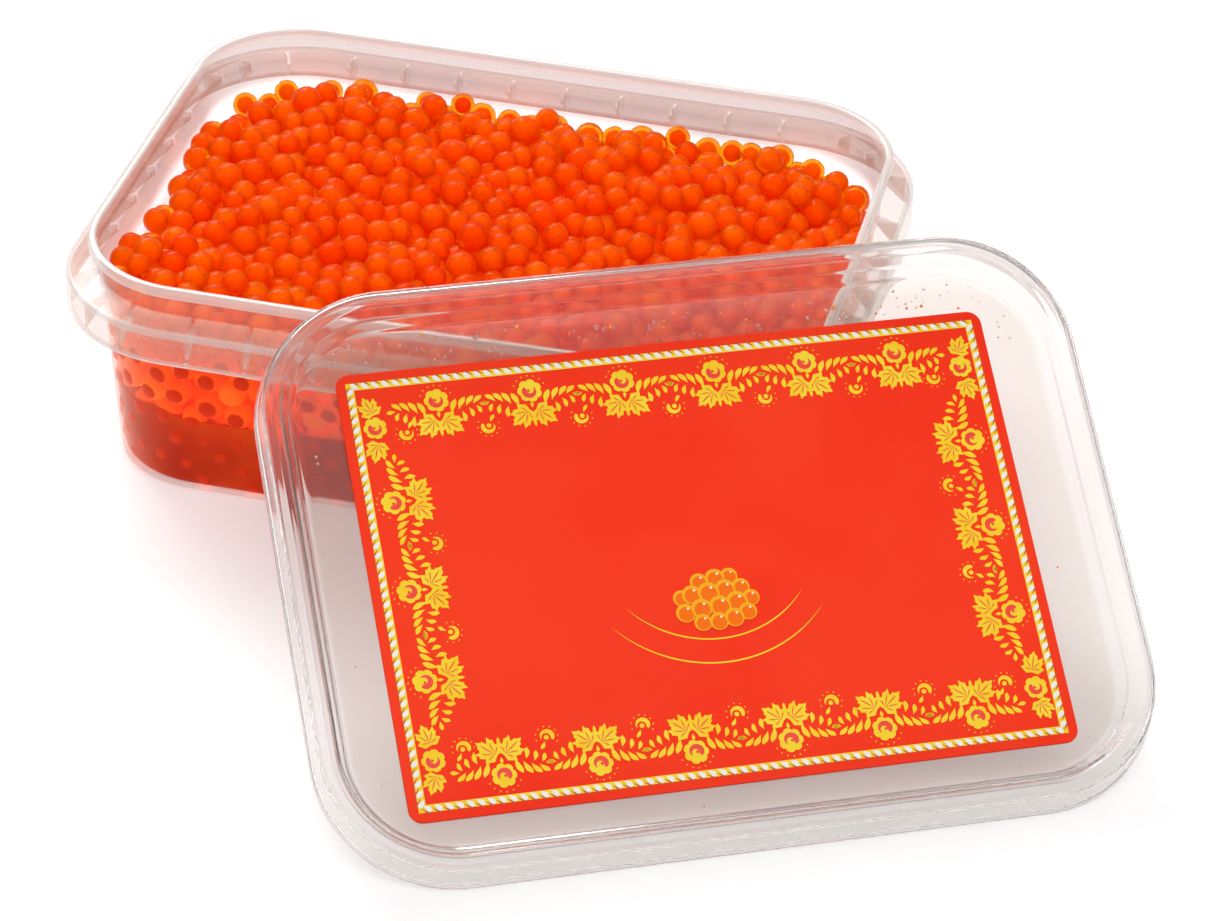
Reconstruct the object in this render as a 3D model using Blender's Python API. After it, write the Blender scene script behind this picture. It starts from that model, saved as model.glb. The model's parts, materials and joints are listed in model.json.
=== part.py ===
"""Salmon roe in its clear plastic tub, with the tub's lid leaning on the rim.

The origin is the centre of the tub's base, which stands on the table. +X runs along the tub's
long side, +Y towards its back and +Z up. Lengths are in metres and angles in degrees.
"""
import math
import random

import bmesh
import bpy
from mathutils import Euler, Vector

# Tub, measured round the outer edge of its rim
RIM_LENGTH = 0.1684
RIM_WIDTH = 0.1234
RIM_CORNER = 0.0257
TUB_HEIGHT = 0.0562
RIM_LIP = 0.0020
RIM_DEPTH = 0.0026
NECK_INSET = 0.0012
WALL = 0.0009
FLOOR = 0.0010
EDGE = 0.0004

# The wall leans in towards the base, with a stacking step behind the skirt
BASE_INSET = 0.0053
BASE_CORNER = 0.0221
BASE_FILLET = 0.0030
WALL_INSET = 0.0022
STEP_HEIGHT = 0.0404
STEP = 0.0008

# The ledge under the rim carries the lid, and its skirt hangs outside the wall
LEDGE_DROP = 0.0065
LEDGE_SLOPE = 0.0019
LEDGE_REACH = 0.0053
LEDGE_THICKNESS = 0.0010
SKIRT_DROP = 0.0163
RIB_PITCH = 0.0133
RIB_THICKNESS = 0.0012
CORNER_RIBS = 3

# Lid, measured round its free edge, open side down
LID_LENGTH = 0.1784
LID_WIDTH = 0.1316
LID_CORNER = 0.0288
LID_HEIGHT = 0.0090
LID_WALL = 0.0008
LID_FLARE = 0.0013
RIDGE_WIDTH = 0.0042
PANEL_INSET = 0.0082
PANEL_TOP = 0.0023

# The lid's lower long edge lies on the table, its panel on the rim's front right corner
LID_EDGE_X = 0.0952
LID_EDGE_Y = -0.1460
LID_YAW = 26.75
LID_TILT = 31.47

# Label on the lid's sunken panel
LABEL_LENGTH = 0.1411
LABEL_WIDTH = 0.0999
LABEL_CORNER = 0.0030
LABEL_THICKNESS = 0.0003
LABEL_OFFSET = (-0.0006, -0.0019)

# Roe, filled to a few millimetres below the rim and heaped in the middle. Each wave has a height
# and its turns along X and Y in radians per metre. The rings are shares of the outline at the wall.
GAP = 0.0003
ROE_LEVEL = 0.0414
ROE_HEAP = 0.0042
ROE_LEAN = (0.0006, -0.0003)
BROAD_WAVE = (0.0006, 95, 110)
FINE_WAVE = (0.0003, 170, 140)
ROE_RINGS = (1.0, 0.9, 0.72, 0.52, 0.3)
ROE_CROWN = 0.1
EGG_RADIUS = (0.0028, 0.0035)
EGG_RISE = (0.0006, 0.0018)
EGG_SPACE = 0.0007
EGG_DARTS = 4000
EGG_SEED = 11

CORNER_SIDES = 7
SHARP_ANGLE = 35
MODEL_NAME = "salmon_roe"


def clear_scene():
    for thing in list(bpy.data.objects):
        bpy.data.objects.remove(thing, do_unlink=True)


def make_collection(name):
    collection = bpy.data.collections.new(name)
    bpy.context.scene.collection.children.link(collection)
    return collection


def make_material(name, color, roughness, transmission=0.0):
    material = bpy.data.materials.new(name)
    material.use_nodes = True
    shader = material.node_tree.nodes["Principled BSDF"]
    shader.inputs["Base Color"].default_value = (*color, 1.0)
    shader.inputs["Roughness"].default_value = roughness
    shader.inputs["Metallic"].default_value = 0.0
    shader.inputs["Transmission Weight"].default_value = transmission
    return material


def rounded_rectangle(length, width, corner):
    """The outline's points in the XY plane, anticlockwise."""
    points = []
    for turn in range(4):
        side_x = 1 if turn in (0, 3) else -1
        side_y = 1 if turn in (0, 1) else -1
        centre_x = side_x * (length / 2 - corner)
        centre_y = side_y * (width / 2 - corner)
        for step in range(CORNER_SIDES + 1):
            angle = math.radians(90 * (turn + step / CORNER_SIDES))
            points.append((centre_x + corner * math.cos(angle), centre_y + corner * math.sin(angle)))
    return points


def loft(name, rings, material, collection):
    """One closed solid through rings of equally many points, with a flat face on the first and last."""
    mesh = bpy.data.meshes.new(name)
    form = bmesh.new()
    loops = [[form.verts.new(point) for point in ring] for ring in rings]
    for lower, upper in zip(loops, loops[1:]):
        for place in range(len(lower)):
            after = (place + 1) % len(lower)
            form.faces.new((lower[place], lower[after], upper[after], upper[place]))
    form.faces.new(reversed(loops[0]))
    form.faces.new(loops[-1])
    bmesh.ops.recalc_face_normals(form, faces=form.faces)
    form.to_mesh(mesh)
    form.free()
    mesh.materials.append(material)
    mesh.shade_smooth()
    mesh.set_sharp_from_angle(angle=math.radians(SHARP_ANGLE))
    thing = bpy.data.objects.new(name, mesh)
    collection.objects.link(thing)
    return thing


def islands(form):
    """The sets of connected vertices in a bmesh."""
    left = set(form.verts)
    found = []
    while left:
        island = set()
        front = [left.pop()]
        while front:
            vert = front.pop()
            island.add(vert)
            near = {edge.other_vert(vert) for edge in vert.link_edges} & left
            left -= near
            front.extend(near)
        found.append(island)
    return found


def drop_scraps(mesh):
    """Keeps only the largest connected piece of a mesh."""
    form = bmesh.new()
    form.from_mesh(mesh)
    scraps = sorted(islands(form), key=len)[:-1]
    bmesh.ops.delete(form, geom=[vert for scrap in scraps for vert in scrap], context="VERTS")
    form.to_mesh(mesh)
    form.free()


def unite(thing, pieces):
    """Fuses every object of a collection to one object, then removes the collection."""
    union = thing.modifiers.new("fuse", "BOOLEAN")
    union.operation = "UNION"
    union.operand_type = "COLLECTION"
    union.collection = pieces
    union.solver = "EXACT"
    graph = bpy.context.evaluated_depsgraph_get()
    fused = bpy.data.meshes.new_from_object(thing.evaluated_get(graph))
    drop_scraps(fused)
    thing.modifiers.clear()
    thing.data = fused
    for piece in list(pieces.objects):
        bpy.data.objects.remove(piece, do_unlink=True)
    bpy.data.collections.remove(pieces)


def tub_ring(inset, height, corner=None):
    """A ring of the tub, inset from the rim's outer edge."""
    if corner is None:
        corner = RIM_CORNER - inset
    outline = rounded_rectangle(RIM_LENGTH - 2 * inset, RIM_WIDTH - 2 * inset, corner)
    return [(x, y, height) for x, y in outline]


def wall_line(height, depth):
    """Inset and corner radius of the leaning wall below its step, at a depth into it from outside."""
    rise = (height - BASE_FILLET) / (STEP_HEIGHT - BASE_FILLET)
    top_inset = WALL_INSET + STEP
    inset = BASE_INSET + (top_inset - BASE_INSET) * rise + depth
    corner = BASE_CORNER + (RIM_CORNER - top_inset - BASE_CORNER) * rise - depth
    return inset, corner


def wall_ring(height, depth):
    inset, corner = wall_line(height, depth)
    return tub_ring(inset, height, corner)


def base_rings(depth, floor):
    """The rings of the rounded base edge, from the floor up to the wall."""
    inset, corner = wall_line(BASE_FILLET, depth)
    radius = BASE_FILLET - floor
    rings = []
    for angle in (0, 45, 90):
        round_off = radius * (1 - math.sin(math.radians(angle)))
        height = floor + radius * (1 - math.cos(math.radians(angle)))
        rings.append(tub_ring(inset + round_off, height, corner - round_off))
    return rings


def make_tub(material, collection):
    top = TUB_HEIGHT
    ledge = top - LEDGE_DROP
    edge = ledge - LEDGE_SLOPE
    outside = base_rings(0.0, 0.0)
    outside += [
        wall_ring(STEP_HEIGHT - STEP, 0.0),
        tub_ring(WALL_INSET, STEP_HEIGHT),
        tub_ring(WALL_INSET, ledge - LEDGE_THICKNESS),
        tub_ring(-LEDGE_REACH + LEDGE_THICKNESS, edge - LEDGE_THICKNESS),
        tub_ring(-LEDGE_REACH + LEDGE_THICKNESS, top - SKIRT_DROP),
        tub_ring(-LEDGE_REACH, top - SKIRT_DROP),
        tub_ring(-LEDGE_REACH, edge - EDGE),
        tub_ring(-LEDGE_REACH + EDGE, edge),
        tub_ring(NECK_INSET, ledge),
        tub_ring(NECK_INSET, top - RIM_DEPTH),
        tub_ring(0.0, top - RIM_DEPTH),
        tub_ring(0.0, top - EDGE),
        tub_ring(EDGE, top),
    ]
    inside = base_rings(WALL, FLOOR)
    inside += [
        wall_ring(STEP_HEIGHT - STEP, WALL),
        tub_ring(WALL_INSET + WALL, STEP_HEIGHT),
        tub_ring(RIM_LIP, top - EDGE),
        tub_ring(RIM_LIP - EDGE, top),
    ]
    tub = loft("tub", outside + inside[::-1], material, collection)
    ribs = make_collection("ribs")
    for number, (place, outward) in enumerate(rib_places()):
        make_rib(f"rib_{number}", place, outward, material, ribs)
    unite(tub, ribs)
    return tub


def rib_places():
    """Points on the rim's outer edge that have a rib below them, each with its outward direction."""
    places = []
    half = Vector((RIM_LENGTH / 2, RIM_WIDTH / 2))
    for turn in range(4):
        angle = math.radians(90 * turn)
        outward = Vector((math.cos(angle), math.sin(angle)))
        along = Vector((-outward.y, outward.x))
        straight = abs(along.dot(half)) - RIM_CORNER
        count = int(straight / RIB_PITCH)
        reach = abs(outward.dot(half))
        for step in range(-count, count + 1):
            places.append((outward * reach + along * step * RIB_PITCH, outward))
        centre = outward * (reach - RIM_CORNER) + along * straight
        for step in range(1, CORNER_RIBS + 1):
            swing = math.radians(90 * (turn + step / (CORNER_RIBS + 1)))
            outward_here = Vector((math.cos(swing), math.sin(swing)))
            places.append((centre + outward_here * RIM_CORNER, outward_here))
    return places


def make_rib(name, place, outward, material, collection):
    """A gusset under the ledge, from the wall out to the skirt and down to the skirt's edge."""
    ledge = TUB_HEIGHT - LEDGE_DROP
    sink = LEDGE_THICKNESS / 2
    profile = [
        (-WALL_INSET - sink, ledge - 2 * LEDGE_THICKNESS - sink),
        (-WALL_INSET - sink, ledge - LEDGE_THICKNESS + sink),
        (LEDGE_REACH - sink, ledge - LEDGE_SLOPE - sink),
        (LEDGE_REACH - sink, TUB_HEIGHT - SKIRT_DROP + sink),
        (LEDGE_REACH - LEDGE_THICKNESS - sink, TUB_HEIGHT - SKIRT_DROP + sink),
    ]
    along = Vector((-outward.y, outward.x))
    form = bmesh.new()
    sides = []
    for half in (-RIB_THICKNESS / 2, RIB_THICKNESS / 2):
        foot = place + along * half
        sides.append([form.verts.new((*(foot + outward * reach), height)) for reach, height in profile])
    form.faces.new(sides[0])
    form.faces.new(reversed(sides[1]))
    for corner in range(len(profile)):
        after = (corner + 1) % len(profile)
        form.faces.new((sides[0][corner], sides[1][corner], sides[1][after], sides[0][after]))
    bmesh.ops.recalc_face_normals(form, faces=form.faces)
    mesh = bpy.data.meshes.new(name)
    form.to_mesh(mesh)
    form.free()
    mesh.materials.append(material)
    collection.objects.link(bpy.data.objects.new(name, mesh))


def lid_ring(inset, height):
    """A ring of the lid in its own frame, inset from its free edge."""
    outline = rounded_rectangle(LID_LENGTH - 2 * inset, LID_WIDTH - 2 * inset, LID_CORNER - inset)
    return [(x, y, height) for x, y in outline]


def make_lid(material, collection):
    """The skirt, the ridge that clips over the tub's rim, and the sunken panel inside it."""
    ridge_out = LID_FLARE
    ridge_in = LID_FLARE + RIDGE_WIDTH
    step_height = PANEL_TOP + (LID_HEIGHT - PANEL_TOP) / 2
    rings = [
        lid_ring(PANEL_INSET, PANEL_TOP - LID_WALL),
        lid_ring(PANEL_INSET - LID_WALL, PANEL_TOP - LID_WALL),
        lid_ring(ridge_in - LID_WALL, LID_HEIGHT - 2 * LID_WALL),
        lid_ring(ridge_in - 2 * LID_WALL, LID_HEIGHT - LID_WALL),
        lid_ring(ridge_out + 2 * LID_WALL, LID_HEIGHT - LID_WALL),
        lid_ring(ridge_out + LID_WALL, LID_HEIGHT - 2 * LID_WALL),
        lid_ring(LID_WALL, 0.0),
        lid_ring(0.0, 0.0),
        lid_ring(ridge_out, LID_HEIGHT - LID_WALL),
        lid_ring(ridge_out + LID_WALL, LID_HEIGHT),
        lid_ring(ridge_in - LID_WALL, LID_HEIGHT),
        lid_ring(ridge_in, LID_HEIGHT - LID_WALL),
        lid_ring(ridge_in + LID_WALL, step_height),
        lid_ring(ridge_in + LID_WALL + EDGE, step_height - EDGE),
        lid_ring(PANEL_INSET, PANEL_TOP + EDGE),
        lid_ring(PANEL_INSET + EDGE, PANEL_TOP),
    ]
    lid = loft("lid", rings, material, collection)
    lid.rotation_euler = Euler((math.radians(LID_TILT), 0.0, math.radians(LID_YAW)))
    lower_edge = Vector((LID_EDGE_X, LID_EDGE_Y, 0.0))
    lid.location = lower_edge + lid.rotation_euler.to_matrix() @ Vector((0.0, LID_WIDTH / 2, 0.0))
    return lid


def make_label(lid, material, collection):
    outline = rounded_rectangle(LABEL_LENGTH, LABEL_WIDTH, LABEL_CORNER)
    rings = [[(x, y, height) for x, y in outline] for height in (0.0, LABEL_THICKNESS)]
    label = loft("label", rings, material, collection)
    label.parent = lid
    label.location = (*LABEL_OFFSET, PANEL_TOP + GAP)
    return label


def roe_surface(x, y):
    """Height of the roe's core: a low heap with gentle waves, lowest at the tub's left wall."""
    across = x / (RIM_LENGTH / 2)
    deep = y / (RIM_WIDTH / 2)
    heap = ROE_HEAP * (1 - across ** 4) * (1 - deep ** 4)
    lean = ROE_LEAN[0] * across + ROE_LEAN[1] * deep
    height, turn_x, turn_y = BROAD_WAVE
    broad = height * math.sin(turn_x * x + 1.0) * math.cos(turn_y * y)
    height, turn_x, turn_y = FINE_WAVE
    fine = height * math.sin(turn_x * x - turn_y * y)
    return ROE_LEVEL + heap + lean + broad + fine


def make_roe(material, collection):
    """A core that fills the tub, with the eggs that show fused on top."""
    depth = WALL + GAP
    rings = base_rings(depth, FLOOR + GAP)
    rim = wall_ring(STEP_HEIGHT - 2 * STEP, depth)
    rings.append(rim)
    for share in ROE_RINGS:
        rings.append([(x * share, y * share, roe_surface(x * share, y * share)) for x, y, _ in rim])
    rings.append([(x * ROE_CROWN, y * ROE_CROWN, roe_surface(0.0, 0.0)) for x, y, _ in rim])
    roe = loft("roe", rings, material, collection)
    eggs = make_collection("eggs")
    for number, (x, y, z, radius, spin) in enumerate(egg_places()):
        bpy.ops.mesh.primitive_ico_sphere_add(subdivisions=1, radius=radius, location=(x, y, z), rotation=spin)
        egg = bpy.context.object
        egg.name = f"egg_{number}"
        egg.data.materials.append(material)
        for owner in list(egg.users_collection):
            owner.objects.unlink(egg)
        eggs.objects.link(egg)
    unite(roe, eggs)
    return roe


def wall_clearance(x, y, inset, corner):
    """How far a point lies inside a rounded rectangle that is inset from the rim."""
    reach_x = abs(x) - (RIM_LENGTH / 2 - inset - corner)
    reach_y = abs(y) - (RIM_WIDTH / 2 - inset - corner)
    if reach_x > 0 and reach_y > 0:
        return corner - math.hypot(reach_x, reach_y)
    return corner - max(reach_x, reach_y)


def egg_places():
    """Seeded darts on the roe's surface, kept where an egg clears the wall and its neighbours."""
    chance = random.Random(EGG_SEED)
    wall = WALL_INSET + STEP + WALL + GAP
    places = []
    for _ in range(EGG_DARTS):
        x = chance.uniform(-0.5, 0.5) * RIM_LENGTH
        y = chance.uniform(-0.5, 0.5) * RIM_WIDTH
        radius = chance.uniform(*EGG_RADIUS)
        rise = chance.uniform(*EGG_RISE)
        spin = tuple(chance.uniform(0.0, math.tau) for _ in range(3))
        if wall_clearance(x, y, wall, RIM_CORNER - wall) < radius:
            continue
        if any(math.hypot(x - a, y - b) < radius + near + EGG_SPACE for a, b, _, near, _ in places):
            continue
        places.append((x, y, roe_surface(x, y) + rise, radius, spin))
    return places


def main():
    clear_scene()
    collection = make_collection(MODEL_NAME)
    clear_plastic = make_material("clear_plastic", (0.95, 0.93, 0.92), 0.25, 0.85)
    lid_plastic = make_material("lid_plastic", (0.96, 0.96, 0.96), 0.12, 0.9)
    roe_orange = make_material("roe_orange", (0.95, 0.20, 0.02), 0.25)
    label_red = make_material("label_red", (0.90, 0.08, 0.04), 0.35)
    make_tub(clear_plastic, collection)
    make_roe(roe_orange, collection)
    lid = make_lid(lid_plastic, collection)
    make_label(lid, label_red, collection)


main()
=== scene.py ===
"""Salmon roe in a clear plastic tub, with the tub's lid leaning on its rim. Lengths are in metres."""
import json
import math

import bpy
import numpy as np
from mathutils import Euler, Matrix, Vector

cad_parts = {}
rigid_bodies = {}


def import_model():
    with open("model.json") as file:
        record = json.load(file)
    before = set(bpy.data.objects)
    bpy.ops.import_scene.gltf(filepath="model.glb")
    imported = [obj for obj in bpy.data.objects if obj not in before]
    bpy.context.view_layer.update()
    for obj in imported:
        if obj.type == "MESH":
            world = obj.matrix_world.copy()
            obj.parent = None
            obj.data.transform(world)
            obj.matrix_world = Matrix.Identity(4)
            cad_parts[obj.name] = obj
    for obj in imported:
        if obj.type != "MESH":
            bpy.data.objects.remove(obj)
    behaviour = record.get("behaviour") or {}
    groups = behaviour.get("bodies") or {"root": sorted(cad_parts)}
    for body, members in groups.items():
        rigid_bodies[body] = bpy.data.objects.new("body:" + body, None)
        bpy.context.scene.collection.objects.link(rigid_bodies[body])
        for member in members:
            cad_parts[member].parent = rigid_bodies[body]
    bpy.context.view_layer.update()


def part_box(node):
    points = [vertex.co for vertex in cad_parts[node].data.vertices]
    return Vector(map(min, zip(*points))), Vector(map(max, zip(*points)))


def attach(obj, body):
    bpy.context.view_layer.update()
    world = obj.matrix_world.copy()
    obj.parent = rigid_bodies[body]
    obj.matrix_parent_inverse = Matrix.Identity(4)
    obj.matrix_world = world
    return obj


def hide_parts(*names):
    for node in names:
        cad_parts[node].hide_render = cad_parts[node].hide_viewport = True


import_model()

# View: a long lens looks down on the tub from the front, a little from its right, and is turned
# slightly about its own axis.
view_side, view_rise, view_roll = (math.radians(angle) for angle in (12.43, 34.50, 2.04))
view_distance = 0.9944
view_aim = (0.0262, -0.0153)
view_lens = 125.7
view_back = Vector((math.sin(view_side) * math.cos(view_rise),
                    -math.cos(view_side) * math.cos(view_rise), math.sin(view_rise)))
level_right = Vector((math.cos(view_side), math.sin(view_side), 0.0))
level_up = view_back.cross(level_right)
view_right = level_right * math.cos(view_roll) + level_up * math.sin(view_roll)
view_up = level_up * math.cos(view_roll) - level_right * math.sin(view_roll)
view_place = view_right * view_aim[0] + view_up * view_aim[1] + view_back * view_distance
camera = bpy.data.objects.new("camera", bpy.data.cameras.new("camera"))
camera.data.lens = view_lens
camera.data.clip_start = 0.01
view_turn = Matrix((view_right, view_up, view_back)).transposed().to_4x4()
camera.matrix_world = Matrix.Translation(view_place) @ view_turn
bpy.context.collection.objects.link(camera)
bpy.context.scene.camera = camera


# Tub: a thin-walled moulding of milky polypropylene. Its rim is a thick bead over a short neck, and
# the ledge below carries the lid. A skirt with gussets behind it hangs from the ledge.
class Finish:
    """A socket in a material. Sums on it add Math nodes, and node() adds any other node."""

    def __init__(self, tree, socket=None):
        self.tree = tree
        self.socket = socket

    def node(self, kind, settings=None, sockets=None, out=0):
        made = self.tree.nodes.new(kind)
        for name, value in (settings or {}).items():
            if name == "stops":
                ramp = made.color_ramp
                while len(ramp.elements) < len(value):
                    ramp.elements.new(0.5)
                for element, (place, color) in zip(ramp.elements, value):
                    element.position = place
                    element.color = (*color, 1.0)
            else:
                setattr(made, name, value)
        for name, value in (sockets or {}).items():
            if isinstance(value, Finish):
                self.tree.links.new(value.socket, made.inputs[name])
            else:
                made.inputs[name].default_value = value
        return Finish(self.tree, made.outputs[out] if len(made.outputs) else None)

    def maths(self, operation, first, second):
        return self.node("ShaderNodeMath", {"operation": operation}, {0: first, 1: second})

    def __add__(self, other):
        return self.maths("ADD", self, other)

    def __radd__(self, other):
        return self.maths("ADD", other, self)

    def __sub__(self, other):
        return self.maths("SUBTRACT", self, other)

    def __mul__(self, other):
        return self.maths("MULTIPLY", self, other)

    def __rmul__(self, other):
        return self.maths("MULTIPLY", other, self)

    def __rsub__(self, other):
        return self.maths("SUBTRACT", other, self)

    def between(self, low, high):
        """0 below low, 1 above high and smooth in between."""
        settings = {"interpolation_type": "SMOOTHSTEP"}
        return self.node("ShaderNodeMapRange", settings, {"Value": self, "From Min": low, "From Max": high})

    def blend(self, first, second):
        """Mixes two colours, with this socket as the share of the second."""
        sockets = {"Factor": self}
        for place, color in ((6, first), (7, second)):
            sockets[place] = color if isinstance(color, Finish) else (*color, 1.0)
        return self.node("ShaderNodeMix", {"data_type": "RGBA"}, sockets, out=2)

    def noise(self, scale, detail=2.0):
        """Fractal noise on the piece's own coordinates."""
        where = self.node("ShaderNodeTexCoord", out=3)
        return self.node("ShaderNodeTexNoise", None, {"Vector": where, "Scale": scale, "Detail": detail})

    def along(self, axis):
        """The place of a point of the surface along X, Y or Z, for axis 0, 1 or 2."""
        where = self.node("ShaderNodeTexCoord", out=3)
        return self.node("ShaderNodeSeparateXYZ", None, {"Vector": where}, out=axis)

    def mark(self, name):
        """The value of a piece's own attribute."""
        return self.node("ShaderNodeAttribute", {"attribute_name": name}, out=2)

    def bump(self, strength, distance):
        """A normal that takes this socket as the surface's height."""
        return self.node("ShaderNodeBump", None, {"Strength": strength, "Distance": distance, "Height": self})


def new_material(name):
    """A material whose tree holds only its output, and the Finish that adds to it."""
    material = bpy.data.materials.new(name)
    material.use_nodes = True
    material.node_tree.nodes.clear()
    return material, Finish(material.node_tree)


def surface(finish, shader):
    finish.node("ShaderNodeOutputMaterial", None, {"Surface": shader})


def principled(finish, **values):
    names = {name.replace("_", " ").title().replace("Ior", "IOR"): value for name, value in values.items()}
    return finish.node("ShaderNodeBsdfPrincipled", None, names)


def paint(finish, **values):
    """Ends a material in a Principled shader of its own."""
    surface(finish, principled(finish, **values))


def add_mesh(name, points, faces, material, sharp=30):
    """A smooth-shaded mesh at the origin whose faces meet in a sharp edge past the given angle."""
    mesh = bpy.data.meshes.new(name)
    mesh.from_pydata([tuple(point) for point in points], [], faces)
    mesh.materials.append(material)
    mesh.validate()
    mesh.shade_smooth()
    mesh.set_sharp_from_angle(angle=math.radians(sharp))
    piece = bpy.data.objects.new(name, mesh)
    bpy.context.collection.objects.link(piece)
    return piece


def rounded_rectangle(length, width, corner, sides=20):
    """Points of an outline in the XY plane, anticlockwise."""
    points = []
    for turn in range(4):
        centre_x = (length / 2 - corner) * (1 if turn in (0, 3) else -1)
        centre_y = (width / 2 - corner) * (1 if turn in (0, 1) else -1)
        for angle in np.radians(np.linspace(90 * turn, 90 * turn + 90, sides + 1)):
            points.append((centre_x + corner * math.cos(angle), centre_y + corner * math.sin(angle)))
    return points


def filleted(profile, steps=4):
    """A profile of (inset, height, radius) points with each corner turned into an arc."""
    line = []
    for place, (x, y, radius) in enumerate(profile):
        here = np.array((x, y))
        if radius == 0 or place in (0, len(profile) - 1):
            line.append((x, y))
            continue
        before = np.array(profile[place - 1][:2]) - here
        after = np.array(profile[place + 1][:2]) - here
        reach = min(radius, 0.45 * np.linalg.norm(before), 0.45 * np.linalg.norm(after))
        start = here + before / np.linalg.norm(before) * reach
        end = here + after / np.linalg.norm(after) * reach
        for share in np.linspace(0, 1, steps + 1):
            line.append(tuple((1 - share) ** 2 * start + 2 * share * (1 - share) * here + share ** 2 * end))
    return line


def loft(name, rings, material, sharp=30, marks=None):
    """A closed solid through rings of equally many points, with a flat face on the first and last.
    Marks give an attribute's name and its value on each ring."""
    count = len(rings[0])
    points = [point for ring in rings for point in ring]
    faces = []
    for ring in range(len(rings) - 1):
        for place in range(count):
            after = (place + 1) % count
            low, high = ring * count, (ring + 1) * count
            faces.append((low + place, low + after, high + after, high + place))
    faces.append(tuple(range(count - 1, -1, -1)))
    faces.append(tuple(range(len(points) - count, len(points))))
    piece = add_mesh(name, points, faces, material, sharp)
    for label, values in (marks or {}).items():
        layer = piece.data.attributes.new(label, "FLOAT", "POINT")
        layer.data.foreach_set("value", np.repeat(np.asarray(values, np.float32), count))
    return piece


tub_low, tub_high = (Vector(corner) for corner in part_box("tub"))
rim_top = tub_high.z
ledge_reach = 0.0053
rim_length = tub_high.x - tub_low.x - 2 * ledge_reach
rim_width = tub_high.y - tub_low.y - 2 * ledge_reach
rim_corner = 0.0257
tub_wall = 0.0009
tub_floor = 0.0010
base_inset = 0.0053
base_fillet = 0.0030
step_height = 0.0404
step_inset = 0.0030
slack_corner = 0.0017
neck_inset = 0.0022
neck_out = 0.0012
skirt_wall = 0.0010
ledge = rim_top - 0.0065
ledge_edge = ledge - 0.0019
skirt_end = rim_top - 0.0163
rim_lip = 0.0020


def tub_ring(inset, height):
    """The tub's outline at an inset from the rim. The corners are fuller towards the base."""
    fuller = min(max((step_height - height) / (step_height - base_fillet), 0.0), 1.0) * slack_corner
    outline = rounded_rectangle(rim_length - 2 * inset, rim_width - 2 * inset, rim_corner - inset + fuller)
    return [(x, y, height) for x, y in outline]


tub_profile = filleted([
    (base_inset + base_fillet, 0.0, 0),
    (base_inset, 0.0, base_fillet),
    (step_inset, step_height - 0.0008, 0.0006),
    (neck_inset, step_height, 0.0006),
    (neck_inset, ledge - 0.0010, 0.0004),
    (skirt_wall - ledge_reach, ledge_edge - 0.0010, 0.0005),
    (skirt_wall - ledge_reach, skirt_end, 0.0004),
    (-ledge_reach, skirt_end, 0.0004),
    (-ledge_reach, ledge_edge, 0.0010),
    (neck_out, ledge, 0.0008),
    (neck_out, rim_top - 0.0026, 0.0003),
    (0.0, rim_top - 0.0024, 0.0004),
    (0.0, rim_top, 0.0007),
    (rim_lip, rim_top, 0.0007),
    (neck_inset + tub_wall, step_height, 0.0008),
    (step_inset + tub_wall, step_height - 0.0008, 0.0008),
    (base_inset + tub_wall, tub_floor, 0.0035),
    (base_inset + 0.0050, tub_floor, 0),
])


def into_wall(finish):
    """How deep a point lies in the tub's wall: 0 on its inner face, over 0 towards the outer."""
    place = [finish.along(axis) for axis in range(3)]
    share = (place[2] - base_fillet) * (1 / (step_height - base_fillet))
    share = share.maths("MINIMUM", share, 1.0)
    over = place[2] - step_height
    over = over.maths("MAXIMUM", over, 0.0)
    step_depth = step_inset - neck_inset
    neck_slope = (neck_inset + tub_wall - rim_lip) / (rim_top - step_height)
    recess = over.between(0.0, step_depth) * step_depth + over * neck_slope
    fuller = (1 - share) * slack_corner
    inset = (1 - share) * (base_inset - step_inset) + (step_inset + tub_wall)
    past = []
    for axis, half in ((0, rim_length / 2), (1, rim_width / 2)):
        beyond = place[axis].maths("ABSOLUTE", place[axis], 0.0) - (half - rim_corner) + fuller
        past.append(beyond.maths("MAXIMUM", beyond, 0.0))
    far = past[0] * past[0] + past[1] * past[1]
    return far.maths("SQRT", far, 0.0) + inset - fuller - rim_corner - recess


# The moulding is frosted: light passes straight through each face, and a share of it meets the haze.
# Where eggs or brine wet the wall it looks clear. The plastic is whiter where it is thick, at the
# rim's lip and along the edges of the skirt. Its inner face carries painted shade and painted orange
# light from the roe: a thick dark brownish veil at the back and sides, and a thinner bright orange one
# along the front, where the heap leans on it up to the rim. The roe's juice stains a blotchy band of it.
dry_haze = 0.19
inner_haze_and_shade = 0.40
front_haze = 0.15
wet_haze = 0.025
wet_line = 0.0425
thick_haze = 0.55
wet_blur = 0.004
inner_face = (0.0002, 0.0006)
outer_face = (0.0013, 0.0022)
skirt_face = (0.0060, 0.0070)
front_wall = (-0.057, -0.050)
juice_starts, juice_ends = (0.034, 0.043), (0.046, 0.054)
milky, pale_milky, whitest = (0.80, 0.53, 0.42), (0.84, 0.76, 0.71), (0.98, 0.88, 0.82)
painted_shade_back, painted_roe_light_front = (0.38, 0.22, 0.16), (0.95, 0.42, 0.22)
juicy, drenched = (0.98, 0.42, 0.16), (1.0, 0.36, 0.12)
tub_plastic, finish = new_material("tub_plastic")
height = finish.along(2)
depth = into_wall(finish)
inner = 1 - depth.between(*inner_face)
front = 1 - finish.along(1).between(*front_wall)
juice_band = height.between(*juice_starts) * (1 - height.between(*juice_ends))
juice = juice_band * finish.noise(55.0, 4.0).between(0.42, 0.62) * inner
ripple = finish.noise(60.0).bump(0.12, 0.0004)
wavy = height + finish.noise(45.0) * wet_blur
wet = (1 - depth.between(*outer_face)) * (1 - wavy.between(wet_line, wet_line + wet_blur))
lip = height.between(rim_top - 0.0030, rim_top - 0.0020)
skirt = depth.between(*skirt_face)
below_ledge = 1 - height.between(ledge_edge - 0.0018, ledge_edge - 0.0010)
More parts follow.
